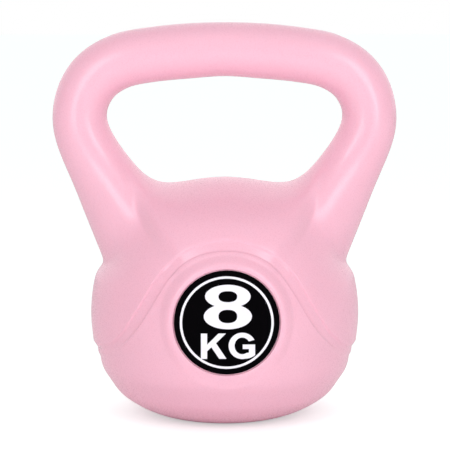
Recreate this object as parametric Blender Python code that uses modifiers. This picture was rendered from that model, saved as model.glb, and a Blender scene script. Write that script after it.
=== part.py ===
"""Cement-filled kettlebell, 8 kg size.

One blow-moulded plastic shell (body and handle in one piece), the cured
filling inside it, the plug that closes the filling hole, and two round weight
labels.  Metres, +Z up, front towards -Y, origin at the middle of the foot.
"""

import math

import bmesh
import bpy
import numpy as np

# --------------------------------------------------------------- dimensions
MID_Z = 0.0708          # height of the body's widest level
DEPTH = 0.96            # body depth over body width
FOOT_R = 0.0410         # outer radius of the flat foot
RECESS_R = 0.0300       # shallow recess inside the foot ring
RECESS_H = 0.0030
WALL = 0.0030           # shell wall
FLOOR_Z = 0.0062        # top of the shell's floor
HOLE_R = 0.0140         # filling hole
PLUG_FLANGE_R = 0.0190
GAP = 0.0003            # clearance between touching pieces

LABEL_Z = 0.0780        # height of the labels' centres
LABEL_R = 0.0350
LABEL_T = 0.0008
POCKET_R = 0.0358       # round pocket that a label lies in
POCKET_H = 0.0016
FACET_Y = 0.0798        # the flat that carries the pocket, from the middle plane
LIP_H = 0.0004          # soft raised rim round the pocket

BAND_H = 0.0012         # band: sunk by this over the labels, raised by it at the sides
SIDE_H = 0.0036         # raised flank above the band, at the sides
EDGE = 0.0017           # width over which a relief step rises, front and rear
SIDE_EDGE = 0.0044      # the same, at the sides

BLEND_IN = 0.049        # fillet between handle root and body, window side
BLEND_OUT = 0.005       # the same, outer side
LEAN = 0.38             # how far the front and rear of a handle root lean towards the window
FLARE = 0.45            # how much deeper than wide a handle root gets where it meets the body

# body profile, (radius, height), crown to foot
BODY = [
    (0.0, 0.1657), (0.0213, 0.1632), (0.0426, 0.1549), (0.0618, 0.1422), (0.0746, 0.1257), (0.0834, 0.1076),
    (0.0882, 0.0905), (0.0900, 0.0708), (0.0883, 0.0511), (0.0860, 0.0341), (0.0807, 0.0256), (0.0749, 0.0170),
    (0.0667, 0.0106), (0.0572, 0.0053), (0.0484, 0.0019), (FOOT_R, 0.0),
]
# handle centreline in the middle plane, (x, z, radius), top middle to the root
HANDLE = [
    (0.0, 0.2546, 0.0185), (0.0246, 0.2534, 0.0190), (0.0487, 0.2511, 0.0189), (0.0716, 0.2468, 0.0190),
    (0.0869, 0.2383, 0.0190), (0.0931, 0.2314, 0.0189), (0.0974, 0.2235, 0.0188), (0.0998, 0.2157, 0.0186),
    (0.1005, 0.2066, 0.0189), (0.0991, 0.1979, 0.0191), (0.0952, 0.1878, 0.0196), (0.0895, 0.1767, 0.0206),
    (0.0832, 0.1653, 0.0221), (0.0755, 0.1502, 0.0239), (0.0671, 0.1342, 0.0259), (0.0559, 0.1129, 0.0286),
]
# elevation of the wave band's edges over the turn from the front or rear middle, degrees
UPPER = [(0.0, 40.6), (6.0, 40.1), (12.0, 38.3), (18.0, 36.0), (24.0, 32.6), (29.5, 28.8), (33.5, 23.8), (37.0, 17.6),
         (40.5, 11.2), (45.0, 4.8), (51.0, -2.3), (58.0, -7.4), (66.0, -11.0), (76.0, -12.4), (90.0, -12.9)]
LOWER = [(0.0, 35.6), (6.0, 35.1), (12.0, 33.8), (18.0, 31.2), (23.5, 27.3), (28.0, 21.8), (32.0, 15.0), (35.5, 9.0),
         (39.3, 3.4), (43.7, -1.8), (49.0, -6.0), (55.0, -9.8), (66.0, -14.0), (78.0, -16.9), (90.0, -17.8)]


# ------------------------------------------------------------------- helpers
def smoothstep(a, b, x):
    t = np.clip((x - a) / (b - a), 0.0, 1.0)
    return t * t * (3.0 - 2.0 * t)


def smooth_line(points, n, mirror):
    """Centripetal Catmull-Rom line through the points, n samples a span."""
    p = np.array(points, float)
    out = []
    for i in range(len(p) - 1):
        p1, p2 = p[i], p[i + 1]
        p0 = p[i - 1] if i else p2 * np.array(mirror)
        p3 = p[i + 2] if i + 2 < len(p) else 2.0 * p2 - p1
        t1 = np.linalg.norm(p1 - p0) ** 0.5
        t2 = t1 + np.linalg.norm(p2 - p1) ** 0.5
        t3 = t2 + np.linalg.norm(p3 - p2) ** 0.5
        for t in np.linspace(t1, t2, n, endpoint=(i == len(p) - 2)):
            a1 = (t1 - t) / t1 * p0 + t / t1 * p1
            a2 = (t2 - t) / (t2 - t1) * p1 + (t - t1) / (t2 - t1) * p2
            a3 = (t3 - t) / (t3 - t2) * p2 + (t - t2) / (t3 - t2) * p3
            b1 = (t2 - t) / t2 * a1 + t / t2 * a2
            b2 = (t3 - t) / (t3 - t1) * a2 + (t - t1) / (t3 - t1) * a3
            out.append((t2 - t) / (t2 - t1) * b1 + (t - t1) / (t2 - t1) * b2)
    return np.array(out)


# body profile as radius over elevation, about the middle of the widest level
_p = np.vstack([smooth_line(BODY, 12, (-1.0, 1.0)), [[0.0, 0.0]]])[::-1]
ELEV = np.linspace(-math.pi / 2, math.pi / 2, 2001)
REACH = np.interp(ELEV, np.arctan2(_p[:, 1] - MID_Z, _p[:, 0]), np.hypot(_p[:, 1] - MID_Z, _p[:, 0]))
FOOT_ELEV = math.atan2(-MID_Z, FOOT_R)
REACH = np.where(ELEV < FOOT_ELEV, MID_Z / np.maximum(np.sin(-ELEV), 1e-6), REACH)

LOOP = smooth_line(HANDLE, 10, (-1.0, 1.0, 1.0))
LOOP_S = np.r_[0.0, np.cumsum(np.linalg.norm(np.diff(LOOP[:, :2], axis=0), axis=1))]


def loop_at(s):
    return np.array([np.interp(s, LOOP_S, LOOP[:, c]) for c in range(3)])


_u, _w = smooth_line(UPPER, 12, (-1.0, 1.0)), smooth_line(LOWER, 12, (-1.0, 1.0))


def band_edges(az):
    """Elevations of the band's upper and lower edge, az degrees from the front or rear middle.
    The band arches over the label and dips to run level round the sides."""
    return np.radians(np.interp(az, _u[:, 0], _u[:, 1])), np.radians(np.interp(az, _w[:, 0], _w[:, 1]))


def step_half(az):
    """Half the width of the band's steps: crisp in front, soft where the flank stands proud."""
    return (EDGE + (SIDE_EDGE - EDGE) * smoothstep(50.0, 80.0, az)) / 0.087 / 2.0


def relief(az, elev):
    top, low = band_edges(az)
    f = step_half(az)
    flank = SIDE_H * smoothstep(46.0, 82.0, az) * (1.0 - smoothstep(math.radians(15.5), math.radians(25.5), elev))
    over_low = smoothstep(-1.0, 1.0, (elev - low) / f)
    over_top = smoothstep(-1.0, 1.0, (elev - top) / f)
    band = BAND_H * (2.0 * smoothstep(46.0, 76.0, az) - 1.0)
    return band * over_low * (1.0 - over_top) + flank * over_top


def body_distance(p, moulded, facet_y):
    x, y, z = p[:, 0], p[:, 1] / DEPTH, p[:, 2] - MID_Z
    h = np.hypot(x, y)
    elev = np.arctan2(z, h)
    reach = np.interp(elev, ELEV, REACH)
    size = np.sqrt(h * h + z * z)
    # the body flattens towards the label's plane, with a soft rim where the pocket begins
    rho = np.hypot(p[:, 0], p[:, 2] - LABEL_Z) / LABEL_R
    w = (1.0 - smoothstep(1.04, 1.29, rho)) * smoothstep(0.2, 0.5, np.abs(y) / size)
    lip = LIP_H * (smoothstep(1.03, 1.09, rho) - smoothstep(1.11, 1.24, rho)) if moulded else 0.0
    plane = size * (facet_y + lip) / DEPTH / np.maximum(np.abs(y), 1e-3)
    reach = reach * (1.0 - w) + np.minimum(plane, 2.0 * reach) * w
    if moulded:
        reach = reach + relief(np.degrees(np.arctan2(np.abs(x), np.abs(y))), elev) * smoothstep(1.2, 1.3, rho)
    return size - reach


def handle_distance(p):
    x, y, z = np.abs(p[:, 0]), p[:, 1], p[:, 2]
    a = LOOP[:-1, :2]
    d = LOOP[1:, :2] - a
    length = np.linalg.norm(d, axis=1)
    px, pz = x[:, None] - a[None, :, 0], z[:, None] - a[None, :, 1]
    t = np.clip((px * d[:, 0] + pz * d[:, 1]) / length ** 2, 0.0, 1.0)
    qx, qz = px - t * d[:, 0], pz - t * d[:, 1]
    k = (qx * qx + qz * qz).argmin(1)
    i = np.arange(len(k))
    s = LOOP_S[k] + t[i, k] * length[k]
    r = np.interp(s, LOOP_S, LOOP[:, 2])
    outward = (-qx[i, k] * d[k, 1] + qz[i, k] * d[k, 0]) / length[k]
    along = np.maximum(qx[i, k] ** 2 + qz[i, k] ** 2 - outward ** 2, 0.0)
    y = y / (1.0 + FLARE * smoothstep(0.185, 0.120, z))
    lean = LEAN * smoothstep(0.205, 0.138, z) * y * y / r
    return np.sqrt(along + (outward + lean) ** 2 + y * y) - r, outward / r, np.abs(y) / r


def skin_distance(p, moulded=True, facet_y=FACET_Y):
    """Distance outside the moulding's surface: body and handle run together by fillets."""
    body = body_distance(p, moulded, facet_y)
    tube, outward, across = handle_distance(p)
    inner = smoothstep(0.2, 0.95, -outward)
    face = 0.22 * smoothstep(0.3, 1.0, across) * smoothstep(-1.1, -0.3, -outward)
    k = BLEND_OUT + (BLEND_IN - BLEND_OUT) * np.maximum(inner, face)
    h = np.maximum(k - np.abs(body - tube), 0.0) / k
    return np.minimum(body, tube) - h ** 3 * k / 6.0


def settle(p, level, rounds, **kw):
    """Move points along the gradient onto the level surface of skin_distance."""
    for _ in range(rounds):
        g = np.empty_like(p)
        for c in range(3):
            step = np.zeros(3)
            step[c] = 2e-4
            g[:, c] = (skin_distance(p + step, **kw) - skin_distance(p - step, **kw)) / 4e-4
        d = ((skin_distance(p, **kw) - level) / np.maximum((g * g).sum(1), 0.05))[:, None] * g
        size = np.linalg.norm(d, axis=1)[:, None]
        p = p - d * np.minimum(1.0, 0.006 / np.maximum(size, 1e-12))
    return p


# ---------------------------------------------------------------- the moulding
def moulding(name, columns, rows, window_top, half_m, n, root_s, rings, level, moulded, facet_y):
    """Closed surface of body and handle.  A UV sphere takes the body's shape, is
    opened at both shoulders, and the handle's rings are lofted between the openings.
    rows = (above the band, across a step, across the band, down to the foot, foot)."""
    up, step, band, down, foot = rows
    az = np.arange(columns) * 2.0 * math.pi / columns
    from_front = np.degrees(np.arctan2(np.abs(np.cos(az)), np.abs(np.sin(az))))
    top, low = band_edges(from_front)
    f = step_half(from_front)
    marks = [np.full(columns, math.pi / 2), top + f, top - f, low + f, low - f, np.full(columns, FOOT_ELEV)]
    elev = []
    for a, b, count in zip(marks[:-1], marks[1:], (up, step, band, step, down)):
        elev += [a + (b - a) * (i + 1) / count for i in range(count)]
    elev += [np.full(columns, math.atan2(-MID_Z, FOOT_R * (1.0 - i / foot))) for i in range(1, foot)]
    elev = np.array(elev)
    nr = len(elev)
    reach = np.interp(elev, ELEV, REACH)
    place = np.stack([reach * np.cos(elev) * np.cos(az), reach * np.cos(elev) * np.sin(az) * DEPTH,
                      MID_Z + reach * np.sin(elev)], -1)

    bm = bmesh.new()
    bmesh.ops.create_uvsphere(bm, u_segments=columns, v_segments=nr + 1, radius=1.0)
    grid = {}
    for v in bm.verts:
        if abs(v.co.z) > 0.999999:
            v.co = (0.0, 0.0, BODY[0][1]) if v.co.z > 0 else (0.0, 0.0, 0.0)
            continue
        i = round((math.pi / 2 - math.asin(v.co.z)) / (math.pi / (nr + 1))) - 1
        j = round(math.atan2(v.co.y, v.co.x) / (2.0 * math.pi / columns)) % columns
        grid[i, j] = v
    for (i, j), v in grid.items():
        v.co = place[i, j]

    # the openings for the handle's roots
    ia = int(np.argmin(np.abs(elev[:, 0] - math.radians(window_top))))
    ib = ia + n
    for centre in (0, columns // 2):
        block = {grid[i, (centre + j) % columns] for i in range(ia, ib + 1) for j in range(-half_m, half_m + 1)}
        bmesh.ops.delete(bm, geom=[f for f in bm.faces if all(v in block for v in f.verts)], context="FACES_ONLY")
    rim = ([(ib, d) for d in range(half_m)] + [(i, half_m) for i in range(ib, ia, -1)]
           + [(ia, d) for d in range(half_m, -half_m, -1)] + [(i, -half_m) for i in range(ia, ib)]
           + [(ib, d) for d in range(-half_m, 0)])
    right = [grid[i, d % columns] for i, d in rim]
    left = [grid[i, (columns // 2 - d) % columns] for i, d in rim]
    count = len(rim)
    turn = np.arange(count) * 2.0 * math.pi / count

    def ring(s):
        x, z, r = loop_at(abs(s))
        ahead, behind = loop_at(abs(s) + 1e-4), loop_at(max(abs(s) - 1e-4, 0.0))
        t = (ahead - behind)[:2] if abs(s) > 1e-9 else np.array([1.0, 0.0])
        t = t / np.linalg.norm(t)
        u = np.cos(turn) - LEAN * smoothstep(0.205, 0.138, z) * np.sin(turn) ** 2
        deep = r * (1.0 + FLARE * smoothstep(0.185, 0.120, z))
        return np.stack([(1.0 if s >= 0 else -1.0) * (x - r * u * t[1]), deep * np.sin(turn), z + r * u * t[0]], -1)

    def co(loop):
        return np.array([v.co[:] for v in loop])

    stations = np.linspace(root_s, -root_s, 2 * rings + 1)
    body = [ring(s) for s in stations]
    start = [co(right) + (body[0] - co(right)) * f for f in (0.33, 0.67)]
    end = [co(left) + (body[-1] - co(left)) * f for f in (0.67, 0.33)]
    chain = [right] + [[bm.verts.new(c) for c in r] for r in start + body + end] + [left]
    for a, b in zip(chain[:-1], chain[1:]):
        for q in range(count):
            r = (q + 1) % count
            bm.faces.new((a[q], a[r], b[r], b[q]))
    bmesh.ops.delete(bm, geom=[v for v in bm.verts if not v.link_faces], context="VERTS")

    # settle every point on the surface, and even out the quads round the roots
    bm.verts.index_update()
    p = co(bm.verts)
    kw = {"moulded": moulded, "facet_y": facet_y}
    flat = p[:, 2] < 1e-5
    hub = co(right).mean(0)
    reach_to = np.linalg.norm(np.abs(p) * [1, 0, 1] + p * [0, 1, 0] - [hub[0], 0.0, hub[2]], axis=1)
    body_elev = np.arctan2(p[:, 2] - MID_Z, np.hypot(p[:, 0], p[:, 1] / DEPTH))
    upper = np.clip((body_elev - band_edges(np.degrees(np.arctan2(np.abs(p[:, 0]), np.abs(p[:, 1] / DEPTH))))[0])
                    / 0.12 - 0.2, 0.0, 1.0)
    zone = np.clip((0.064 - reach_to) / 0.013, 0.0, 1.0) * upper
    p[~flat] = settle(p[~flat], level, 5, **kw)
    ends = np.array([[v.index for v in edge.verts] for edge in bm.edges])
    links = np.bincount(ends.ravel(), minlength=len(p)).astype(float)[:, None]
    soft = zone > 0.0
    for k in range(20):
        total = np.stack([np.bincount(ends[:, 0], p[ends[:, 1], c], len(p))
                          + np.bincount(ends[:, 1], p[ends[:, 0], c], len(p)) for c in range(3)], -1)
        p = p + (total / links - p) * (0.6 * zone)[:, None]
        p[soft] = settle(p[soft], level, 1 if k < 19 else 4, **kw)
    if level < 0.0:                      # inside surfaces stop at the shell's floor
        p[:, 2] = np.maximum(p[:, 2], FLOOR_Z + (GAP if level < -WALL else 0.0))
    for v, c in zip(bm.verts, p):
        v.co = c
    if moulded:
        label_pad(bm, -1, 48, (1.29, 1.21, 1.15, 1.09))
        label_pad(bm, 1, 48, (1.29, 1.21, 1.15, 1.09))
    bmesh.ops.recalc_face_normals(bm, faces=bm.faces)
    if level < 0.0:                      # the level floor is one face
        floor_z = min(v.co.z for v in bm.verts)
        flats = [f for f in bm.faces if all(v.co.z < floor_z + 1e-6 for v in f.verts)]
        bmesh.ops.dissolve_faces(bm, faces=flats, use_verts=True)
    bmesh.ops.triangulate(bm, faces=[f for f in bm.faces if len(f.verts) == 4], quad_method="SHORT_EDGE")
    mesh = bpy.data.meshes.new(name)
    bm.to_mesh(mesh)
    bm.free()
    mesh.shade_smooth()
    mesh.set_sharp_from_angle(angle=math.radians(40.0))
    return bpy.data.objects.new(name, mesh)


def strip(bm, outer, first, angle):
    """Triangles between a stepped edge and the closed loop inside it, both running the same way round."""
    def faces_out(u, v, w):
        return (v.co.x - u.co.x) * (w.co.z - u.co.z) - (v.co.z - u.co.z) * (w.co.x - u.co.x) > 0.0

    a, b, na, nb = 0, 0, len(outer), len(first)
    while a < na or b < nb:
        next_a = angle(outer[a + 1]) if a + 1 < na else angle(outer[0]) + 2.0 * math.pi
        next_b = angle(first[b + 1]) if b + 1 < nb else angle(first[0]) + 2.0 * math.pi
        va, vb, a1, b1 = outer[a % na], first[b % nb], outer[(a + 1) % na], first[(b + 1) % nb]
        good_a, good_b = a < na and faces_out(va, a1, vb), b < nb and faces_out(va, b1, vb)
        if b >= nb or (a < na and (good_a > good_b or (good_a == good_b and next_a <= next_b))):
            bm.faces.new((va, a1, vb))
            a += 1
        else:
            bm.faces.new((va, b1, vb))
            b += 1


def one_way(bm, outer, angle, centre_z):
    """Close the notches of a stepped edge that fold back, so that it runs one way round the label."""
    k = 0
    while k < len(outer):
        u, v = outer[k], outer[(k + 1) % len(outer)]
        if 0.0 < (angle(u) - angle(v)) % (2.0 * math.pi) < math.pi:
            far = math.hypot(u.co.x, u.co.z - centre_z) > math.hypot(v.co.x, v.co.z - centre_z)
            i = k if far else (k + 1) % len(outer)
            bm.faces.new((outer[i - 1], outer[i], outer[(i + 1) % len(outer)]))
            outer.pop(i)
            k = max(0, k - 2)
        else:
            k += 1
    first = min(range(len(outer)), key=lambda i: angle(outer[i]))
    return outer[first:] + outer[:first]


def label_pad(bm, side, count, rings):
    """Round label seat on the front (side -1) or rear (side 1): the sphere's faces there give
    way to rings round the label's centre, ending in the flat-bottomed pocket."""
    rho = {v: math.hypot(v.co.x, v.co.z - LABEL_Z) if v.co.y * side > 0.02 else 1.0 for v in bm.verts}
    bmesh.ops.delete(bm, geom=[f for f in bm.faces if any(rho[v] < 1.33 * LABEL_R for v in f.verts)], context="FACES")

    def angle(v):
        return math.atan2(v.co.z - LABEL_Z, v.co.x) % (2.0 * math.pi)

    edge = {}
    for e in bm.edges:
        if e.is_boundary and all(v.co.y * side > 0.02 for v in e.verts):
            for v in e.verts:
                edge.setdefault(v, []).append(e.other_vert(v))
    outer = [min(edge, key=angle)]
    outer.append(min(edge[outer[0]], key=angle))
    while len(outer) < len(edge):
        outer.append(next(v for v in edge[outer[-1]] if v is not outer[-2]))
    outer = one_way(bm, outer, angle, LABEL_Z)
    turn = np.arange(count) * 2.0 * math.pi / count
    loops = []
    for r in [f * LABEL_R for f in rings] + [POCKET_R]:
        p = np.stack([r * np.cos(turn), np.full(count, side * FACET_Y), LABEL_Z + r * np.sin(turn)], -1)
        for _ in range(8):
            step = np.array([0.0, 2e-4, 0.0])
            slope = (skin_distance(p + step) - skin_distance(p - step)) / 4e-4
            p[:, 1] -= skin_distance(p) / slope
        loops.append([bm.verts.new(c) for c in p])
    loops.append([bm.verts.new((v.co.x, side * (FACET_Y - POCKET_H), v.co.z)) for v in loops[-1]])
    strip(bm, outer, loops[0], angle)
    for near, far in zip(loops[:-1], loops[1:]):
        for q in range(count):
            r = (q + 1) % count
            bm.faces.new((near[q], near[r], far[r], far[q]))
    bm.faces.new(loops[-1])


def turned(name, profile, steps):
    """Profile (radius, height) from top to bottom, turned about Z."""
    bm = bmesh.new()
    verts = [bm.verts.new((r, 0.0, z)) for r, z in profile]
    for a, b in zip(verts[:-1], verts[1:]):
        bm.edges.new((a, b))
    mesh = bpy.data.meshes.new(name)
    bm.to_mesh(mesh)
    bm.free()
    obj = bpy.data.objects.new(name, mesh)
    screw = obj.modifiers.new("turn", "SCREW")
    screw.steps = steps
    screw.render_steps = steps
    screw.use_merge_vertices = True
    screw.merge_threshold = 0.00002
    screw.use_smooth_shade = True
    return obj


def material(name, colour, roughness, metallic=0.0):
    mat = bpy.data.materials.new(name)
    mat.use_nodes = True
    bsdf = mat.node_tree.nodes["Principled BSDF"]
    bsdf.inputs["Base Color"].default_value = (*colour, 1.0)
    bsdf.inputs["Roughness"].default_value = roughness
    bsdf.inputs["Metallic"].default_value = metallic
    mat.diffuse_color = (*colour, 1.0)
    return mat


def cut(target, cutter):
    mod = target.modifiers.new(cutter.name, "BOOLEAN")
    mod.operation = "DIFFERENCE"
    mod.solver = "EXACT"
    mod.object = cutter


# ------------------------------------------------------------------- the model
for old in list(bpy.data.objects):
    bpy.data.objects.remove(old, do_unlink=True)
parts = bpy.data.collections.new("kettlebell")
cutters = bpy.data.collections.new("cutters")
bpy.context.scene.collection.children.link(parts)
bpy.context.scene.collection.children.link(cutters)

pink = material("pink_polyethylene", (0.93, 0.50, 0.61), 0.42)
cement = material("cement_filling", (0.35, 0.34, 0.32), 0.95)
black = material("black_label", (0.012, 0.012, 0.014), 0.35)
plug_pink = material("plug_polyethylene", (0.86, 0.44, 0.55), 0.5)


def add(obj, mat):
    obj.data.materials.append(mat)
    parts.objects.link(obj)
    return obj


def add_cutter(obj):
    obj.hide_render = True
    obj.display_type = "WIRE"
    cutters.objects.link(obj)
    return obj


shell = add(moulding("shell", 60, (18, 1, 2, 9, 3), 62.0, 4, 7, 0.152, 21, 0.0, True, FACET_Y), pink)

cavity = add_cutter(moulding("cavity_cutter", 32, (10, 1, 1, 6, 2), 62.0, 2, 4, 0.152, 14, -WALL, False,
                             FACET_Y - 0.0016))
cut(shell, cavity)

foot_recess = add_cutter(turned("foot_recess_cutter", [(0.0, RECESS_H), (RECESS_R - 0.0008, RECESS_H),
                                                       (RECESS_R, RECESS_H - 0.0008), (RECESS_R + 0.0006, -0.002),
                                                       (0.0, -0.002)], 48))
cut(shell, foot_recess)
fill_hole = add_cutter(turned("fill_hole_cutter", [(0.0, FLOOR_Z + 0.003), (HOLE_R, FLOOR_Z + 0.003),
                                                   (HOLE_R, 0.001), (0.0, 0.001)], 32))
cut(shell, fill_hole)
for side, word in ((-1.0, "front"), (1.0, "rear")):
    label = add(turned(word + "_label", [(0.0, LABEL_T / 2), (LABEL_R - 0.0002, LABEL_T / 2),
                                         (LABEL_R, LABEL_T / 2 - 0.0002), (LABEL_R, -LABEL_T / 2),
                                         (0.0, -LABEL_T / 2)], 48), black)
    label.rotation_euler = (-side * math.pi / 2, 0.0, 0.0)
    label.location = (0.0, side * (FACET_Y - POCKET_H + GAP + LABEL_T / 2), LABEL_Z)

add(moulding("cement_filling", 32, (10, 1, 1, 6, 2), 62.0, 2, 4, 0.152, 14, -WALL - GAP, False,
             FACET_Y - 0.0016), cement)

# push-in plug: a dished flange in the foot recess and a stem in the filling hole
add(turned("fill_plug", [(0.0, FLOOR_Z - 0.0004), (HOLE_R - GAP - 0.0006, FLOOR_Z - 0.0004),
                         (HOLE_R - GAP, FLOOR_Z - 0.0010), (HOLE_R - GAP, RECESS_H - GAP),
                         (PLUG_FLANGE_R - 0.0005, RECESS_H - GAP), (PLUG_FLANGE_R, RECESS_H - GAP - 0.0005),
                         (PLUG_FLANGE_R, 0.0014), (PLUG_FLANGE_R - 0.0007, 0.0009), (0.0100, 0.0009),
                         (0.0090, 0.0017), (0.0, 0.0017)], 32), plug_pink)
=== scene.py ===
"""Looks of the cement-filled kettlebell: the fine moulded shell with its wave band
and label seats, printed labels, plug, plastics and studio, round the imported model."""

import math

import bmesh
import bpy
import numpy as np
from mathutils import Matrix, Vector


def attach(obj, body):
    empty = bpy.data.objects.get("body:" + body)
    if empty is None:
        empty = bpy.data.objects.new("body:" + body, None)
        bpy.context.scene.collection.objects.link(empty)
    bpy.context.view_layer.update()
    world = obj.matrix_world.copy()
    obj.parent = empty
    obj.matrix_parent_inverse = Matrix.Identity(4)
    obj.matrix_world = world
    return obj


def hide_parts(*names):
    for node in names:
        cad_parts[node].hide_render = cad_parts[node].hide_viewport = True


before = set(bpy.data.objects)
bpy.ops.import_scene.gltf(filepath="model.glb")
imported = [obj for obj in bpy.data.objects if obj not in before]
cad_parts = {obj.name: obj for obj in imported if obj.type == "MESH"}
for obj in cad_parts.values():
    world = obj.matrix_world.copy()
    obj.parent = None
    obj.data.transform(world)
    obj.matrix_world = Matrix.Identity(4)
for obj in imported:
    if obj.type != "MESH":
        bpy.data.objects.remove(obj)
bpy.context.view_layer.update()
scene = bpy.context.scene

# ------------------------------------------------------------------ camera
CAM_AZ, CAM_EL, CAM_DIST = math.radians(1.0), math.radians(8.0), 1.385
target = Vector((0.0002, 0.0, 0.1322))
cam_data = bpy.data.cameras.new("camera")
cam = bpy.data.objects.new("camera", cam_data)
scene.collection.objects.link(cam)
look = Vector((-math.sin(CAM_AZ) * math.cos(CAM_EL), -math.cos(CAM_AZ) * math.cos(CAM_EL), math.sin(CAM_EL)))
cam.location = target + look * CAM_DIST
cam.rotation_euler = look.to_track_quat("Z", "Y").to_euler()
cam_data.sensor_width = 36.0
cam_data.lens = 158.8
cam_data.clip_start = 0.05
cam_data.clip_end = 30.0
scene.camera = cam

# --------------------------------------------------------------- dimensions, as in the CAD
MID_Z, DEPTH, FOOT_R, RECESS_R, RECESS_H = 0.0708, 0.96, 0.0410, 0.0300, 0.0030
LABEL_Z, LABEL_R, POCKET_R, POCKET_H, FACET_Y, LIP_H = 0.0780, 0.0350, 0.0358, 0.0016, 0.0798, 0.0004
LABEL_T, GAP = 0.0008, 0.0003
BAND_H, SIDE_H, EDGE, SIDE_EDGE = 0.0012, 0.0036, 0.0017, 0.0044
BLEND_IN, BLEND_OUT, LEAN, FLARE = 0.049, 0.005, 0.38, 0.45
BODY = [
    (0.0, 0.1657), (0.0213, 0.1632), (0.0426, 0.1549), (0.0618, 0.1422), (0.0746, 0.1257), (0.0834, 0.1076),
    (0.0882, 0.0905), (0.0900, 0.0708), (0.0883, 0.0511), (0.0860, 0.0341), (0.0807, 0.0256), (0.0749, 0.0170),
    (0.0667, 0.0106), (0.0572, 0.0053), (0.0484, 0.0019), (FOOT_R, 0.0),
]
HANDLE = [
    (0.0, 0.2546, 0.0185), (0.0246, 0.2534, 0.0190), (0.0487, 0.2511, 0.0189), (0.0716, 0.2468, 0.0190),
    (0.0869, 0.2383, 0.0190), (0.0931, 0.2314, 0.0189), (0.0974, 0.2235, 0.0188), (0.0998, 0.2157, 0.0186),
    (0.1005, 0.2066, 0.0189), (0.0991, 0.1979, 0.0191), (0.0952, 0.1878, 0.0196), (0.0895, 0.1767, 0.0206),
    (0.0832, 0.1653, 0.0221), (0.0755, 0.1502, 0.0239), (0.0671, 0.1342, 0.0259), (0.0559, 0.1129, 0.0286),
]
# elevation of the wave band's edges over the turn from the front or rear middle, degrees
UPPER = [(0.0, 40.6), (6.0, 40.1), (12.0, 38.3), (18.0, 36.0), (24.0, 32.6), (29.5, 28.8), (33.5, 23.8), (37.0, 17.6),
         (40.5, 11.2), (45.0, 4.8), (51.0, -2.3), (58.0, -7.4), (66.0, -11.0), (76.0, -12.4), (90.0, -12.9)]
LOWER = [(0.0, 35.6), (6.0, 35.1), (12.0, 33.8), (18.0, 31.2), (23.5, 27.3), (28.0, 21.8), (32.0, 15.0), (35.5, 9.0),
         (39.3, 3.4), (43.7, -1.8), (49.0, -6.0), (55.0, -9.8), (66.0, -14.0), (78.0, -16.9), (90.0, -17.8)]


def smoothstep(a, b, x):
    """0 at a, 1 at b, level beyond both; a may be the larger."""
    t = np.clip((x - a) / (b - a), 0.0, 1.0)
    return t * t * (3.0 - 2.0 * t)


def smooth_line(points, n, mirror):
    p = np.array(points, float)
    out = []
    for i in range(len(p) - 1):
        p1, p2 = p[i], p[i + 1]
        p0 = p[i - 1] if i else p2 * np.array(mirror)
        p3 = p[i + 2] if i + 2 < len(p) else 2.0 * p2 - p1
        t1 = np.linalg.norm(p1 - p0) ** 0.5
        t2 = t1 + np.linalg.norm(p2 - p1) ** 0.5
        t3 = t2 + np.linalg.norm(p3 - p2) ** 0.5
        for t in np.linspace(t1, t2, n, endpoint=(i == len(p) - 2)):
            a1 = (t1 - t) / t1 * p0 + t / t1 * p1
            a2 = (t2 - t) / (t2 - t1) * p1 + (t - t1) / (t2 - t1) * p2
            a3 = (t3 - t) / (t3 - t2) * p2 + (t - t2) / (t3 - t2) * p3
            b1 = (t2 - t) / t2 * a1 + t / t2 * a2
            b2 = (t3 - t) / (t3 - t1) * a2 + (t - t1) / (t3 - t1) * a3
            out.append((t2 - t) / (t2 - t1) * b1 + (t - t1) / (t2 - t1) * b2)
    return np.array(out)


def gauss(x, n):
    """Moving average, run twice, to take the last ripple out of a sampled line."""
    k = np.hanning(2 * n + 3)[1:-1]
    k /= k.sum()
    return np.convolve(np.pad(x, n, mode="edge"), k, mode="valid")


_p = np.vstack([smooth_line(BODY, 40, (-1.0, 1.0)), [[0.0, 0.0]]])[::-1]
ELEV = np.linspace(-math.pi / 2, math.pi / 2, 6001)
FOOT_ELEV = math.atan2(-MID_Z, FOOT_R)
_raw = np.interp(ELEV, np.arctan2(_p[:, 1] - MID_Z, _p[:, 0]), np.hypot(_p[:, 1] - MID_Z, _p[:, 0]))
_sm = gauss(np.concatenate([_raw, _raw[::-1][1:]]), 160)[:6001]
REACH = np.where(ELEV < FOOT_ELEV, MID_Z / np.maximum(np.sin(-ELEV), 1e-6),
                 _raw + (_sm - _raw) * smoothstep(FOOT_ELEV + 0.05, FOOT_ELEV + 0.3, ELEV))

LOOP = smooth_line(HANDLE, 16, (-1.0, 1.0, 1.0))
LOOP_S = np.r_[0.0, np.cumsum(np.linalg.norm(np.diff(LOOP[:, :2], axis=0), axis=1))]
# even spacing, and a light smoothing that keeps the middle and the root in place
_s = np.linspace(0.0, LOOP_S[-1], 321)
_l = np.stack([np.interp(_s, LOOP_S, LOOP[:, c]) for c in range(3)], -1)
for _c, _sign in ((0, -1.0), (1, 1.0), (2, 1.0)):
    _full = np.concatenate([_sign * _l[::-1, _c][:-1], _l[:, _c]])
    _full = gauss(gauss(_full, 12), 12)
    _k = smoothstep(0.0, 0.02, LOOP_S[-1] - _s)
    _l[:, _c] = _l[:, _c] * (1 - _k) + _full[320:] * _k
LOOP = _l
LOOP_S = np.r_[0.0, np.cumsum(np.linalg.norm(np.diff(LOOP[:, :2], axis=0), axis=1))]


def loop_at(s):
    return np.array([np.interp(s, LOOP_S, LOOP[:, c]) for c in range(3)])


_u, _w = smooth_line(UPPER, 12, (-1.0, 1.0)), smooth_line(LOWER, 12, (-1.0, 1.0))


def band_edges(az):
    return np.radians(np.interp(az, _u[:, 0], _u[:, 1])), np.radians(np.interp(az, _w[:, 0], _w[:, 1]))


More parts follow.
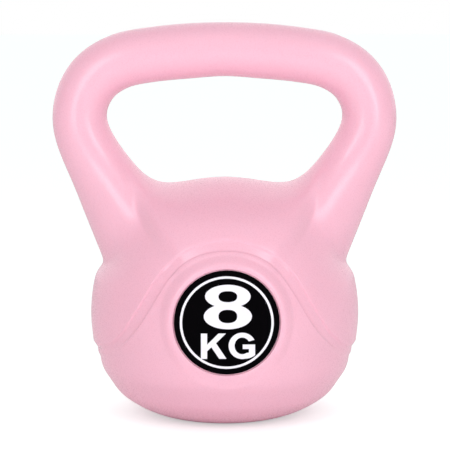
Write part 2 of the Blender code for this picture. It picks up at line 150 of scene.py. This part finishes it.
def step_half(az):
    """Half the width of the band's steps: crisp in front, soft where the flank stands proud."""
    return (EDGE + (SIDE_EDGE - EDGE) * smoothstep(50.0, 80.0, az)) / 0.087 / 2.0


def relief(az, elev):
    top, low = band_edges(az)
    f = step_half(az)
    flank = SIDE_H * smoothstep(46.0, 82.0, az) * (1.0 - smoothstep(math.radians(15.5), math.radians(25.5), elev))
    over_low = smoothstep(-1.0, 1.0, (elev - low) / f)
    over_top = smoothstep(-1.0, 1.0, (elev - top) / f)
    band = BAND_H * (2.0 * smoothstep(46.0, 76.0, az) - 1.0)
    return band * over_low * (1.0 - over_top) + flank * over_top


def body_distance(p):
    x, y, z = p[:, 0], p[:, 1] / DEPTH, p[:, 2] - MID_Z
    h = np.hypot(x, y)
    elev = np.arctan2(z, h)
    reach = np.interp(elev, ELEV, REACH)
    size = np.sqrt(h * h + z * z)
    rho = np.hypot(p[:, 0], p[:, 2] - LABEL_Z) / LABEL_R
    w = (1.0 - smoothstep(1.04, 1.29, rho)) * smoothstep(0.2, 0.5, np.abs(y) / size)
    lip = LIP_H * (smoothstep(1.03, 1.09, rho) - smoothstep(1.11, 1.24, rho))
    plane = size * (FACET_Y + lip) / DEPTH / np.maximum(np.abs(y), 1e-3)
    reach = reach * (1.0 - w) + np.minimum(plane, 2.0 * reach) * w
    reach = reach + relief(np.degrees(np.arctan2(np.abs(x), np.abs(y))), elev) * smoothstep(1.2, 1.3, rho)
    return size - reach


def handle_distance(p):
    out = []
    for part in np.array_split(p, max(1, len(p) // 8000)):
        x, y, z = np.abs(part[:, 0]), part[:, 1], part[:, 2]
        a = LOOP[:-1, :2]
        d = LOOP[1:, :2] - a
        length = np.linalg.norm(d, axis=1)
        # nearest of every eighth sample first, then the spans round it
        coarse = np.arange(0, len(LOOP), 8)
        k0 = ((x[:, None] - LOOP[coarse, 0]) ** 2 + (z[:, None] - LOOP[coarse, 1]) ** 2).argmin(1) * 8
        near = np.clip(k0[:, None] + np.arange(-9, 9), 0, len(a) - 1)
        px, pz = x[:, None] - a[near, 0], z[:, None] - a[near, 1]
        dx, dz, ln = d[near, 0], d[near, 1], length[near]
        t = np.clip((px * dx + pz * dz) / ln ** 2, 0.0, 1.0)
        qx, qz = px - t * dx, pz - t * dz
        k = (qx * qx + qz * qz).argmin(1)
        i = np.arange(len(k))
        kk = near[i, k]
        s = LOOP_S[kk] + t[i, k] * ln[i, k]
        r = np.interp(s, LOOP_S, LOOP[:, 2])
        outward = (-qx[i, k] * dz[i, k] + qz[i, k] * dx[i, k]) / ln[i, k]
        along = np.maximum(qx[i, k] ** 2 + qz[i, k] ** 2 - outward ** 2, 0.0)
        y = y / (1.0 + FLARE * smoothstep(0.185, 0.120, z))
        lean = LEAN * smoothstep(0.205, 0.138, z) * y * y / r
        out.append(np.stack([np.sqrt(along + (outward + lean) ** 2 + y * y) - r, outward / r, np.abs(y) / r]))
    return np.concatenate(out, axis=1)


def skin_distance(p):
    body = body_distance(p)
    tube, outward, across = handle_distance(p)
    inner = smoothstep(0.2, 0.95, -outward)
    face = 0.22 * smoothstep(0.3, 1.0, across) * smoothstep(-1.1, -0.3, -outward)
    k = BLEND_OUT + (BLEND_IN - BLEND_OUT) * np.maximum(inner, face)
    h = np.maximum(k - np.abs(body - tube), 0.0) / k
    return np.minimum(body, tube) - h ** 3 * k / 6.0


def settle(p, rounds):
    for _ in range(rounds):
        g = np.empty_like(p)
        for c in range(3):
            step = np.zeros(3)
            step[c] = 1e-4
            g[:, c] = (skin_distance(p + step) - skin_distance(p - step)) / 2e-4
        d = (skin_distance(p) / np.maximum((g * g).sum(1), 0.05))[:, None] * g
        size = np.linalg.norm(d, axis=1)[:, None]
        p = p - d * np.minimum(1.0, 0.006 / np.maximum(size, 1e-12))
    return p


# ------------------------------------------------------------------- the fine shell
COLUMNS, UP, STEP, BAND, DOWN = ((320, 112, 4, 5, 56))
HALF_M, HOLE_N, RINGS, PAD = ((20, 40, 76, 192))


def build_shell():
    az = np.arange(COLUMNS) * 2.0 * math.pi / COLUMNS
    from_front = np.degrees(np.arctan2(np.abs(np.cos(az)), np.abs(np.sin(az))))
    top, low = band_edges(from_front)
    f = step_half(from_front)
    marks = [np.full(COLUMNS, math.pi / 2), top + f, top - f, low + f, low - f, np.full(COLUMNS, FOOT_ELEV)]
    elev = []
    for a, b, count in zip(marks[:-1], marks[1:], (UP, STEP, BAND, STEP, DOWN)):
        elev += [a + (b - a) * (i + 1) / count for i in range(count)]
    elev = np.array(elev)
    nr = len(elev)
    reach = np.interp(elev, ELEV, REACH)
    place = np.stack([reach * np.cos(elev) * np.cos(az), reach * np.cos(elev) * np.sin(az) * DEPTH,
                      MID_Z + reach * np.sin(elev)], -1)
    bm = bmesh.new()
    crown = bm.verts.new((0.0, 0.0, BODY[0][1]))
    grid = [[bm.verts.new(place[i, j]) for j in range(COLUMNS)] for i in range(nr)]

    c0 = elev[:, 0]
    ia = int(np.argmin(np.abs(c0 - math.radians(62.0))))
    ib = ia + HOLE_N

    def in_hole(i, j):
        jj = ((j + COLUMNS // 4) % (COLUMNS // 2)) - COLUMNS // 4
        return ia <= i < ib and -HALF_M <= jj < HALF_M

    for j in range(COLUMNS):
        bm.faces.new((crown, grid[0][j], grid[0][(j + 1) % COLUMNS]))
        for i in range(nr - 1):
            if not in_hole(i, j):
                j2 = (j + 1) % COLUMNS
                bm.faces.new((grid[i][j], grid[i + 1][j], grid[i + 1][j2], grid[i][j2]))

    rim = ([(ib, d) for d in range(HALF_M)] + [(i, HALF_M) for i in range(ib, ia, -1)]
           + [(ia, d) for d in range(HALF_M, -HALF_M, -1)] + [(i, -HALF_M) for i in range(ia, ib)]
           + [(ib, d) for d in range(-HALF_M, 0)])
    right = [grid[i][d % COLUMNS] for i, d in rim]
    left = [grid[i][(COLUMNS // 2 - d) % COLUMNS] for i, d in rim]
    count = len(rim)
    turn = np.arange(count) * 2.0 * math.pi / count

    def ring(s):
        x, z, r = loop_at(abs(s))
        t = (loop_at(abs(s) + 5e-4) - loop_at(max(abs(s) - 5e-4, 0.0)))[:2] if abs(s) > 1e-9 else np.array([1.0, 0.0])
        t = t / np.linalg.norm(t)
        u = np.cos(turn) - LEAN * smoothstep(0.205, 0.138, z) * np.sin(turn) ** 2
        deep = r * (1.0 + FLARE * smoothstep(0.185, 0.120, z))
        return np.stack([(1.0 if s >= 0 else -1.0) * (x - r * u * t[1]), deep * np.sin(turn), z + r * u * t[0]], -1)

    def co(loop):
        return np.array([v.co[:] for v in loop])

    body = [ring(s) for s in np.linspace(0.150, -0.150, 2 * RINGS + 1)]
    lead = 12
    start = [co(right) + (body[0] - co(right)) * (q / lead) for q in range(1, lead)]
    end = [co(left) + (body[-1] - co(left)) * (q / lead) for q in range(lead - 1, 0, -1)]
    chain = [right] + [[bm.verts.new(c) for c in r] for r in start + body + end] + [left]
    for a, b in zip(chain[:-1], chain[1:]):
        for q in range(count):
            r = (q + 1) % count
            bm.faces.new((a[q], a[r], b[r], b[q]))
    bmesh.ops.delete(bm, geom=[v for v in bm.verts if not v.link_faces], context="VERTS")

    bm.verts.index_update()
    p = co(bm.verts)
    flat = p[:, 2] < 1e-5
    hub = co(right).mean(0)
    reach_to = np.linalg.norm(np.abs(p) * [1, 0, 1] + p * [0, 1, 0] - [hub[0], 0.0, hub[2]], axis=1)
    body_elev = np.arctan2(p[:, 2] - MID_Z, np.hypot(p[:, 0], p[:, 1] / DEPTH))
    upper = np.clip((body_elev - band_edges(np.degrees(np.arctan2(np.abs(p[:, 0]), np.abs(p[:, 1] / DEPTH))))[0])
                    / 0.12 - 0.2, 0.0, 1.0)
    zone = np.clip((0.064 - reach_to) / 0.013, 0.0, 1.0) * upper
    p[~flat] = settle(p[~flat], 4)
    ends = np.array([[v.index for v in edge.verts] for edge in bm.edges])
    links = np.bincount(ends.ravel(), minlength=len(p)).astype(float)[:, None]
    soft = zone > 0.0
    rounds = 90
    for k in range(rounds):
        total = np.stack([np.bincount(ends[:, 0], p[ends[:, 1], c], len(p))
                          + np.bincount(ends[:, 1], p[ends[:, 0], c], len(p)) for c in range(3)], -1)
        p = p + (total / links - p) * (0.7 * zone)[:, None]
        if k % 6 == 5 or k == rounds - 1:
            p[soft] = settle(p[soft], 1 if k < rounds - 1 else 4)
    for v, c in zip(bm.verts, p):
        v.co = c
    for side in (-1, 1):
        label_pad(bm, side)
    foot(bm, [grid[nr - 1][j] for j in range(COLUMNS)])
    bmesh.ops.recalc_face_normals(bm, faces=bm.faces)
    bmesh.ops.triangulate(bm, faces=[f for f in bm.faces if len(f.verts) == 4], quad_method="SHORT_EDGE")
    mesh = bpy.data.meshes.new("moulded_shell")
    bm.to_mesh(mesh)
    bm.free()
    mesh.shade_smooth()
    mesh.set_sharp_from_angle(angle=math.radians(50.0))
    obj = bpy.data.objects.new("moulded_shell", mesh)
    scene.collection.objects.link(obj)
    return obj


def strip(bm, outer, first, angle):
    """Triangles between a stepped edge and the closed loop inside it, both running the same way round."""
    def faces_out(u, v, w):
        return (v.co.x - u.co.x) * (w.co.z - u.co.z) - (v.co.z - u.co.z) * (w.co.x - u.co.x) > 0.0

    a, b, na, nb = 0, 0, len(outer), len(first)
    while a < na or b < nb:
        next_a = angle(outer[a + 1]) if a + 1 < na else angle(outer[0]) + 2.0 * math.pi
        next_b = angle(first[b + 1]) if b + 1 < nb else angle(first[0]) + 2.0 * math.pi
        va, vb, a1, b1 = outer[a % na], first[b % nb], outer[(a + 1) % na], first[(b + 1) % nb]
        good_a, good_b = a < na and faces_out(va, a1, vb), b < nb and faces_out(va, b1, vb)
        if b >= nb or (a < na and (good_a > good_b or (good_a == good_b and next_a <= next_b))):
            bm.faces.new((va, a1, vb))
            a += 1
        else:
            bm.faces.new((va, b1, vb))
            b += 1


def one_way(bm, outer, angle, centre_z):
    """Close the notches of a stepped edge that fold back, so that it runs one way round the label."""
    k = 0
    while k < len(outer):
        u, v = outer[k], outer[(k + 1) % len(outer)]
        if 0.0 < (angle(u) - angle(v)) % (2.0 * math.pi) < math.pi:
            far = math.hypot(u.co.x, u.co.z - centre_z) > math.hypot(v.co.x, v.co.z - centre_z)
            i = k if far else (k + 1) % len(outer)
            bm.faces.new((outer[i - 1], outer[i], outer[(i + 1) % len(outer)]))
            outer.pop(i)
            k = max(0, k - 2)
        else:
            k += 1
    first = min(range(len(outer)), key=lambda i: angle(outer[i]))
    return outer[first:] + outer[:first]


def label_pad(bm, side):
    rho = {v: math.hypot(v.co.x, v.co.z - LABEL_Z) if v.co.y * side > 0.02 else 1.0 for v in bm.verts}
    bmesh.ops.delete(bm, geom=[f for f in bm.faces if any(rho[v] < 1.31 * LABEL_R for v in f.verts)], context="FACES")

    def angle(v):
        return math.atan2(v.co.z - LABEL_Z, v.co.x) % (2.0 * math.pi)

    edge = {}
    for e in bm.edges:
        if e.is_boundary and all(v.co.y * side > 0.02 for v in e.verts) and all(v.co.z > 0.012 for v in e.verts):
            for v in e.verts:
                edge.setdefault(v, []).append(e.other_vert(v))
    outer = [min(edge, key=angle)]
    outer.append(min(edge[outer[0]], key=angle))
    while len(outer) < len(edge):
        outer.append(next(v for v in edge[outer[-1]] if v is not outer[-2]))
    outer = one_way(bm, outer, angle, LABEL_Z)

    turn = np.arange(PAD) * 2.0 * math.pi / PAD
    radii = np.linspace(1.29 * LABEL_R, POCKET_R + 0.0006, 11)
    loops = []
    for r in radii:
        p = np.stack([r * np.cos(turn), np.full(PAD, side * FACET_Y), LABEL_Z + r * np.sin(turn)], -1)
        for _ in range(8):
            step = np.array([0.0, 1e-4, 0.0])
            slope = (skin_distance(p + step) - skin_distance(p - step)) / 2e-4
            p[:, 1] -= skin_distance(p) / slope
        loops.append([bm.verts.new(c) for c in p])
    base = loops[-1]
    # rounded mouth, wall, small fillet and floor of the pocket
    mouth = [(POCKET_R + 0.0006 - 0.0006 * math.sin(a), 0.0006 * (1.0 - math.cos(a)))
             for a in np.linspace(0.0, math.pi / 2, 5)[1:]]
    foot_ = [(POCKET_R - 0.0004 * (1.0 - math.cos(a)), POCKET_H - 0.0004 + 0.0004 * math.sin(a))
             for a in np.linspace(0.0, math.pi / 2, 4)]
    for r, deep in mouth + foot_ + [(POCKET_R * 0.9, POCKET_H)]:
        ring = []
        for q, v in enumerate(base):
            ring.append(bm.verts.new((r * math.cos(turn[q]), v.co.y * min(1.0, 1.0) - side * deep,
                                      LABEL_Z + r * math.sin(turn[q]))))
        loops.append(ring)
    strip(bm, outer, loops[0], angle)
    for near, far in zip(loops[:-1], loops[1:]):
        for q in range(PAD):
            r = (q + 1) % PAD
            bm.faces.new((near[q], near[r], far[r], far[q]))
    bm.faces.new(loops[-1])


def foot(bm, edge):
    """Foot ring, the shallow recess inside it and the seat round the plug."""
    def ring_at(r, z):
        return [bm.verts.new((r * math.cos(a), r * math.sin(a), z)) for a in
                (math.atan2(v.co.y, v.co.x) for v in edge)]
    steps = [(RECESS_R + 0.004, 0.0), (RECESS_R + 0.0012, 0.0), (RECESS_R + 0.0005, 0.0002),
             (RECESS_R + 0.0001, 0.0008), (RECESS_R, RECESS_H - 0.0010), (RECESS_R - 0.0003, RECESS_H - 0.0003),
             (RECESS_R - 0.0010, RECESS_H), (0.022, RECESS_H), (0.0142, RECESS_H)]
    last = edge
    for r, z in steps:
        ring = ring_at(r, z)
        for q in range(len(edge)):
            k = (q + 1) % len(edge)
            bm.faces.new((last[q], last[k], ring[k], ring[q]))
        last = ring
    bm.faces.new(last)


shell = build_shell()
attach(shell, "root")
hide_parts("shell")


# ------------------------------------------------------------------- materials
def new_material(name):
    mat = bpy.data.materials.new(name)
    mat.use_nodes = True
    nt = mat.node_tree
    return mat, nt, nt.nodes["Principled BSDF"]


def node(nt, kind, **sockets):
    n = nt.nodes.new(kind)
    for k, v in sockets.items():
        if k in n.inputs:
            n.inputs[k].default_value = v
        else:
            setattr(n, k, v)
    return n


def pink_plastic(name, colour, rough, parting=False):
    mat, nt, bsdf = new_material(name)
    link = nt.links.new
    co = node(nt, "ShaderNodeTexCoord")
    # slow drift of the pigment
    drift = node(nt, "ShaderNodeTexNoise", Scale=9.0, Detail=2.0, Roughness=0.5)
    link(co.outputs["Object"], drift.inputs["Vector"])
    ramp = node(nt, "ShaderNodeValToRGB")
    ramp.color_ramp.elements[0].position = 0.35
    ramp.color_ramp.elements[1].position = 0.65
    ramp.color_ramp.elements[0].color = (colour[0] * 0.985, colour[1] * 0.965, colour[2] * 0.97, 1.0)
    ramp.color_ramp.elements[1].color = (*colour, 1.0)
    link(drift.outputs["Fac"], ramp.inputs["Fac"])
    link(ramp.outputs["Color"], bsdf.inputs["Base Color"])
    # roughness: the blasted mould's grain
    grain = node(nt, "ShaderNodeTexNoise", Scale=1400.0, Detail=3.0, Roughness=0.6)
    link(co.outputs["Object"], grain.inputs["Vector"])
    rr = node(nt, "ShaderNodeMapRange")
    rr.inputs["To Min"].default_value = rough - 0.05
    rr.inputs["To Max"].default_value = rough + 0.05
    link(grain.outputs["Fac"], rr.inputs["Value"])
    link(rr.outputs["Result"], bsdf.inputs["Roughness"])
    peel = node(nt, "ShaderNodeTexNoise", Scale=170.0, Detail=2.0, Roughness=0.5)
    link(co.outputs["Object"], peel.inputs["Vector"])
    b1 = node(nt, "ShaderNodeBump", Strength=0.06, Distance=0.0002)
    link(grain.outputs["Fac"], b1.inputs["Height"])
    b2 = node(nt, "ShaderNodeBump", Strength=0.03, Distance=0.0010)
    link(peel.outputs["Fac"], b2.inputs["Height"])
    link(b1.outputs["Normal"], b2.inputs["Normal"])
    last = b2
    if parting:
        # flash line where the two mould halves meet
        axes = node(nt, "ShaderNodeSeparateXYZ")
        link(co.outputs["Object"], axes.inputs["Vector"])
        off = node(nt, "ShaderNodeMath", operation="ABSOLUTE")
        link(axes.outputs["Y"], off.inputs[0])
        seam = node(nt, "ShaderNodeMapRange")
        seam.interpolation_type = "SMOOTHSTEP"
        seam.inputs["From Min"].default_value = 0.00012
        seam.inputs["From Max"].default_value = 0.00045
        seam.inputs["To Min"].default_value = 1.0
        seam.inputs["To Max"].default_value = 0.0
        link(off.outputs["Value"], seam.inputs["Value"])
        last = node(nt, "ShaderNodeBump", Strength=0.8, Distance=0.00018)
        link(seam.outputs["Result"], last.inputs["Height"])
        link(b2.outputs["Normal"], last.inputs["Normal"])
    link(last.outputs["Normal"], bsdf.inputs["Normal"])
    bsdf.inputs["IOR"].default_value = 1.50
    bsdf.inputs["Subsurface Weight"].default_value = 0.12
    bsdf.inputs["Subsurface Radius"].default_value = (1.0, 0.5, 0.45)
    bsdf.inputs["Subsurface Scale"].default_value = 0.003
    return mat


PINK = (0.878, 0.482, 0.598)
shell.data.materials.append(pink_plastic("pink_polyethylene", PINK, 0.28, True))
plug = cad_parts["fill_plug"]
plug.data.materials.clear()
plug.data.materials.append(pink_plastic("plug_polyethylene", (0.80, 0.40, 0.50), 0.42))


def cured_cement():
    """Grey cement paste with iron-sand specks and small air pores."""
    mat, nt, bsdf = new_material("cured_cement")
    link = nt.links.new
    co = node(nt, "ShaderNodeTexCoord")
    blotch = node(nt, "ShaderNodeTexNoise", Scale=45.0, Detail=6.0, Roughness=0.65)
    link(co.outputs["Object"], blotch.inputs["Vector"])
    ramp = node(nt, "ShaderNodeValToRGB")
    ramp.color_ramp.elements[0].position = 0.32
    ramp.color_ramp.elements[1].position = 0.70
    ramp.color_ramp.elements[0].color = (0.20, 0.19, 0.18, 1.0)
    ramp.color_ramp.elements[1].color = (0.38, 0.37, 0.35, 1.0)
    link(blotch.outputs["Fac"], ramp.inputs["Fac"])
    grit = node(nt, "ShaderNodeTexVoronoi", Scale=520.0)
    link(co.outputs["Object"], grit.inputs["Vector"])
    speck = node(nt, "ShaderNodeMapRange")
    speck.inputs["From Min"].default_value = 0.12
    speck.inputs["From Max"].default_value = 0.26
    speck.inputs["To Min"].default_value = 0.35
    speck.inputs["To Max"].default_value = 1.0
    link(grit.outputs["Distance"], speck.inputs["Value"])
    dark = node(nt, "ShaderNodeVectorMath", operation="SCALE")
    link(ramp.outputs["Color"], dark.inputs[0])
    link(speck.outputs["Result"], dark.inputs["Scale"])
    link(dark.outputs["Vector"], bsdf.inputs["Base Color"])
    rr = node(nt, "ShaderNodeMapRange")
    rr.inputs["To Min"].default_value = 0.82
    rr.inputs["To Max"].default_value = 0.97
    link(blotch.outputs["Fac"], rr.inputs["Value"])
    link(rr.outputs["Result"], bsdf.inputs["Roughness"])
    pores = node(nt, "ShaderNodeBump", Strength=0.5, Distance=0.0006)
    link(speck.outputs["Result"], pores.inputs["Height"])
    link(pores.outputs["Normal"], bsdf.inputs["Normal"])
    return mat


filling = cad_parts["cement_filling"]
filling.data.materials.clear()
filling.data.materials.append(cured_cement())


def black_label():
    mat, nt, bsdf = new_material("black_vinyl")
    link = nt.links.new
    co = node(nt, "ShaderNodeTexCoord")
    n = node(nt, "ShaderNodeTexNoise", Scale=900.0, Detail=3.0, Roughness=0.6)
    link(co.outputs["Object"], n.inputs["Vector"])
    ramp = node(nt, "ShaderNodeValToRGB")
    ramp.color_ramp.elements[0].color = (0.0009, 0.0007, 0.0012, 1.0)
    ramp.color_ramp.elements[1].color = (0.0017, 0.0013, 0.0020, 1.0)
    link(n.outputs["Fac"], ramp.inputs["Fac"])
    link(ramp.outputs["Color"], bsdf.inputs["Base Color"])
    rr = node(nt, "ShaderNodeMapRange")
    rr.inputs["To Min"].default_value = 0.44
    rr.inputs["To Max"].default_value = 0.56
    link(n.outputs["Fac"], rr.inputs["Value"])
    link(rr.outputs["Result"], bsdf.inputs["Roughness"])
    b = node(nt, "ShaderNodeBump", Strength=0.05, Distance=0.0001)
    link(n.outputs["Fac"], b.inputs["Height"])
    link(b.outputs["Normal"], bsdf.inputs["Normal"])
    bsdf.inputs["Specular IOR Level"].default_value = 0.015
    return mat


def white_ink():
    mat, nt, bsdf = new_material("white_ink")
    link = nt.links.new
    co = node(nt, "ShaderNodeTexCoord")
    n = node(nt, "ShaderNodeTexNoise", Scale=700.0, Detail=3.0, Roughness=0.6)
    link(co.outputs["Object"], n.inputs["Vector"])
    ramp = node(nt, "ShaderNodeValToRGB")
    ramp.color_ramp.elements[0].color = (0.83, 0.81, 0.89, 1.0)
    ramp.color_ramp.elements[1].color = (0.88, 0.86, 0.94, 1.0)
    link(n.outputs["Fac"], ramp.inputs["Fac"])
    link(ramp.outputs["Color"], bsdf.inputs["Base Color"])
    rr = node(nt, "ShaderNodeMapRange")
    rr.inputs["To Min"].default_value = 0.45
    rr.inputs["To Max"].default_value = 0.60
    link(n.outputs["Fac"], rr.inputs["Value"])
    link(rr.outputs["Result"], bsdf.inputs["Roughness"])
    b = node(nt, "ShaderNodeBump", Strength=0.08, Distance=0.00005)
    link(n.outputs["Fac"], b.inputs["Height"])
    link(b.outputs["Normal"], bsdf.inputs["Normal"])
    bsdf.inputs["Specular IOR Level"].default_value = 0.25
    return mat


vinyl, ink = black_label(), white_ink()
for name in ("front_label", "rear_label"):
    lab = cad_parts[name]
    lab.data.materials.clear()
    lab.data.materials.append(vinyl)


# ------------------------------------------------------------------- the printed weight mark
def oval(cx, cz, a, b, start=0.0, stop=360.0, n=64, power=2.0):
    """Points along a (super)ellipse between two angles, degrees from +x."""
    t = np.radians(np.linspace(start, stop, n, endpoint=abs(stop - start) < 359.9))
    c, s = np.cos(t), np.sin(t)
    return [(cx + a * math.copysign(abs(u) ** (2.0 / power), u), cz + b * math.copysign(abs(v) ** (2.0 / power), v))
            for u, v in zip(c, s)]


def figure_eight():
    """Two wide bowls with their counters."""
    cx, top, low = 0.02, (0.505, 0.430, 0.223), (0.119, 0.455, 0.244)
    z = np.linspace(0.25, 0.40, 400)
    half = [c[1] * np.sqrt(np.clip(1.0 - ((z - c[0]) / c[2]) ** 2, 0.0, None)) for c in (top, low)]
    waist = z[np.abs(half[0] - half[1]).argmin()]
    a = math.degrees(math.asin((waist - top[0]) / top[2]))
    b = math.degrees(math.asin((waist - low[0]) / low[2]))
    outline = (oval(cx, top[0], top[1], top[2], a, 180.0 - a, 60)
               + oval(cx, low[0], low[1], low[2], 180.0 - b, 360.0 + b, 72))
    return [outline, oval(cx, 0.500, 0.177, 0.106, power=2.3), oval(cx, 0.121, 0.177, 0.128, power=2.3)]


def letter_k():
    return [[(-0.490, -0.207), (-0.372, -0.207), (-0.372, -0.420), (-0.158, -0.207), (-0.017, -0.207),
             (-0.204, -0.395), (-0.006, -0.695), (-0.143, -0.695), (-0.292, -0.472), (-0.372, -0.547),
             (-0.372, -0.695), (-0.490, -0.695)]]


def letter_g():
    cx, cz = 0.293, -0.446
    outer = oval(cx, cz, 0.258, 0.254, 27.0, 282.0, 56)
    heel = [(0.400, -0.690), (0.447, -0.677), (0.494, -0.655), (0.537, -0.625)]
    bar = [(0.537, -0.420), (0.302, -0.420), (0.302, -0.507), (0.420, -0.507), (0.420, -0.575)]
    inner = oval(cx, cz, 0.145, 0.161, 300.0, 32.0, 44)
    return [outer + heel + bar + inner]


def rings():
    return [oval(0.0, 0.0, 0.890, 0.890, n=160), oval(0.0, 0.0, 0.845, 0.845, n=160)]


def weight_mark(name, side):
    """Thin raised ink on the label's face; side -1 is the front, 1 the rear."""
    bm = bmesh.new()
    face_y = FACET_Y - POCKET_H + GAP + LABEL_T + 0.00001
    for outlines in (rings(), figure_eight(), letter_k(), letter_g()):
        edges = []
        for line in outlines:
            vs = [bm.verts.new((-side * u * LABEL_R, side * face_y, LABEL_Z + v * LABEL_R)) for u, v in line]
            edges += [bm.edges.new((vs[k], vs[(k + 1) % len(vs)])) for k in range(len(vs))]
        filled = bmesh.ops.triangle_fill(bm, edges=edges, use_beauty=True)
        faces = [g for g in filled["geom"] if isinstance(g, bmesh.types.BMFace)]
        grown = bmesh.ops.extrude_face_region(bm, geom=faces)
        for g in grown["geom"]:
            if isinstance(g, bmesh.types.BMVert):
                g.co.y += side * 0.00007
    bmesh.ops.recalc_face_normals(bm, faces=bm.faces)
    mesh = bpy.data.meshes.new(name)
    bm.to_mesh(mesh)
    bm.free()
    mesh.materials.append(ink)
    obj = bpy.data.objects.new(name, mesh)
    scene.collection.objects.link(obj)
    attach(obj, "root")
    return obj


weight_mark("front_weight_mark", -1)
weight_mark("rear_weight_mark", 1)


# ------------------------------------------------------------------- studio
ROOM, SWEEP, FLOOR_BOUNCE, FLOOR_SEEN, FLOOR_GLOW = 0.395, 1.2, 0.93, (0.76, 0.85, 0.82), 0.44
floor_mesh = bpy.data.meshes.new("floor")
fb = bmesh.new()
bmesh.ops.create_grid(fb, x_segments=1, y_segments=1, size=6.0)
fb.to_mesh(floor_mesh)
fb.free()
floor = bpy.data.objects.new("floor", floor_mesh)
scene.collection.objects.link(floor)
# a white sweep: it reads white to the camera, and gives the underside less light than its own white
fm, fnt, fbsdf = new_material("pale_floor")
ray = node(fnt, "ShaderNodeLightPath")
tone = node(fnt, "ShaderNodeMix")
tone.data_type = "RGBA"
tone.inputs["A"].default_value = (FLOOR_BOUNCE, FLOOR_BOUNCE, FLOOR_BOUNCE, 1.0)
tone.inputs["B"].default_value = (*FLOOR_SEEN, 1.0)
glow = node(fnt, "ShaderNodeMath", operation="MULTIPLY")
glow.inputs[1].default_value = FLOOR_GLOW
fnt.links.new(ray.outputs["Is Camera Ray"], glow.inputs[0])
fnt.links.new(glow.outputs["Value"], fbsdf.inputs["Emission Strength"])
fbsdf.inputs["Emission Color"].default_value = (1.0, 1.0, 1.0, 1.0)
fnt.links.new(ray.outputs["Is Camera Ray"], tone.inputs["Factor"])
fnt.links.new(tone.outputs["Result"], fbsdf.inputs["Base Color"])
fbsdf.inputs["Roughness"].default_value = 1.0
fbsdf.inputs["Specular IOR Level"].default_value = 0.0
floor.data.materials.append(fm)

world = bpy.data.worlds.new("studio")
scene.world = world
world.use_nodes = True
wnt = world.node_tree
# dim room in front and to the sides, white sweep behind, which lights the rims
where = node(wnt, "ShaderNodeTexCoord")
axes = node(wnt, "ShaderNodeSeparateXYZ")
wnt.links.new(where.outputs["Generated"], axes.inputs["Vector"])
sweep = node(wnt, "ShaderNodeMapRange")
sweep.interpolation_type = "SMOOTHSTEP"
sweep.inputs["From Min"].default_value = 0.05
sweep.inputs["From Max"].default_value = 0.60
sweep.inputs["To Min"].default_value = ROOM
sweep.inputs["To Max"].default_value = SWEEP
wnt.links.new(axes.outputs["Y"], sweep.inputs["Value"])
wray = node(wnt, "ShaderNodeLightPath")
wmix = node(wnt, "ShaderNodeMix")
wmix.inputs["B"].default_value = 1.0
wnt.links.new(wray.outputs["Is Camera Ray"], wmix.inputs["Factor"])
wnt.links.new(sweep.outputs["Result"], wmix.inputs["A"])
back = wnt.nodes["Background"]
back.inputs["Color"].default_value = (1.0, 1.0, 1.0, 1.0)
wnt.links.new(wmix.outputs["Result"], back.inputs["Strength"])


def area(name, loc, aim, size, power, size_y=None):
    data = bpy.data.lights.new(name, "AREA")
    data.shape = "RECTANGLE"
    data.size = size
    data.size_y = size_y or size
    data.energy = power
    obj = bpy.data.objects.new(name, data)
    scene.collection.objects.link(obj)
    obj.location = loc
    obj.rotation_euler = (Vector(loc) - Vector(aim)).to_track_quat("Z", "Y").to_euler()
    return obj


def sun(name, frm, strength, angle):
    data = bpy.data.lights.new(name, "SUN")
    data.energy = strength
    data.angle = math.radians(angle)
    obj = bpy.data.objects.new(name, data)
    scene.collection.objects.link(obj)
    obj.rotation_euler = Vector(frm).to_track_quat("Z", "Y").to_euler()
    return obj


mid = (0.0, 0.0, 0.17)


def softbox(name, az, el, dist, width, height, power):
    """Strip light az degrees to the right of the front, el degrees up."""
    a, e = math.radians(az), math.radians(el)
    loc = (mid[0] + dist * math.sin(a) * math.cos(e), mid[1] - dist * math.cos(a) * math.cos(e),
           mid[2] + dist * math.sin(e))
    return area(name, loc, mid, width, power, height)


softbox("key", 32.0, 17.0, 1.2, 0.40, 0.86, 4.9)
softbox("fill", -28.0, 17.0, 1.2, 0.38, 0.86, 4.6)
sun("sky", (0.0, -0.6, 1.0), 0.25, 57.0)

scene.view_settings.view_transform = "Standard"
scene.view_settings.look = "None"
